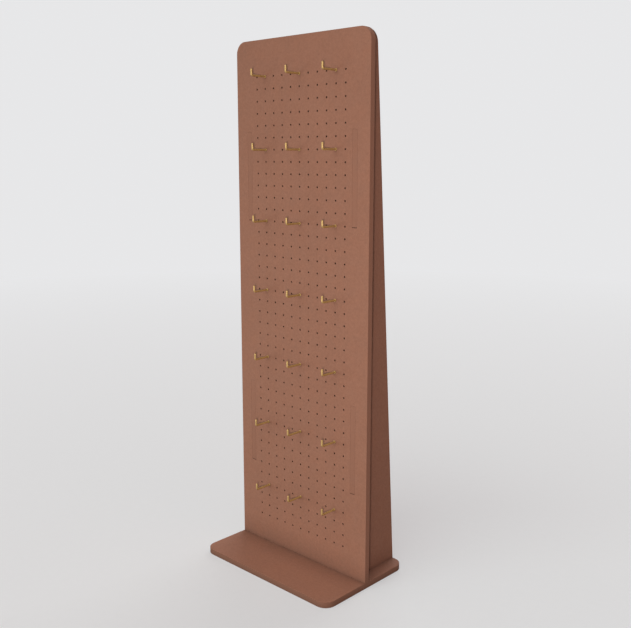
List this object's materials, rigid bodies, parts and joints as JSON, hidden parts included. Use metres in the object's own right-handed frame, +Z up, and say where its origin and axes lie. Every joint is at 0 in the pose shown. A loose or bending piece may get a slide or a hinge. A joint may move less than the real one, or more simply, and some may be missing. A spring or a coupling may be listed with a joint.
{
  "type": "countertop pegboard display",
  "caption": "Tall perforated board on a flat base plate, braced by two tapered side panels, with brass pegs whose upturned tips hold hanging goods.",
  "frame": {"origin": "centre of the base plate's underside", "axes": "+Z up, -Y out of the perforated face towards the viewer, +X to the right seen from the front"},
  "size_m": [0.381, 0.254, 1.143],
  "materials": {
    "board": "matt reddish-brown sheet board with a fine mottle",
    "peg": "satin"
  },
  "bodies": {
    "root": {"front_board": "board", "base_plate": "board", "side_panel_left": "board", "side_panel_right": "board", "peg_row1_left": "peg", "peg_row1_middle": "peg", "peg_row1_right": "peg", "peg_row2_left": "peg", "peg_row2_middle": "peg", "peg_row2_right": "peg", "peg_row3_left": "peg", "peg_row3_middle": "peg", "peg_row3_right": "peg", "peg_row4_left": "peg", "peg_row4_middle": "peg", "peg_row4_right": "peg", "peg_row5_left": "peg", "peg_row5_middle": "peg", "peg_row5_right": "peg", "peg_row6_left": "peg", "peg_row6_middle": "peg", "peg_row6_right": "peg", "peg_row7_left": "peg", "peg_row7_middle": "peg", "peg_row7_right": "peg"}
  },
  "joints": []
}
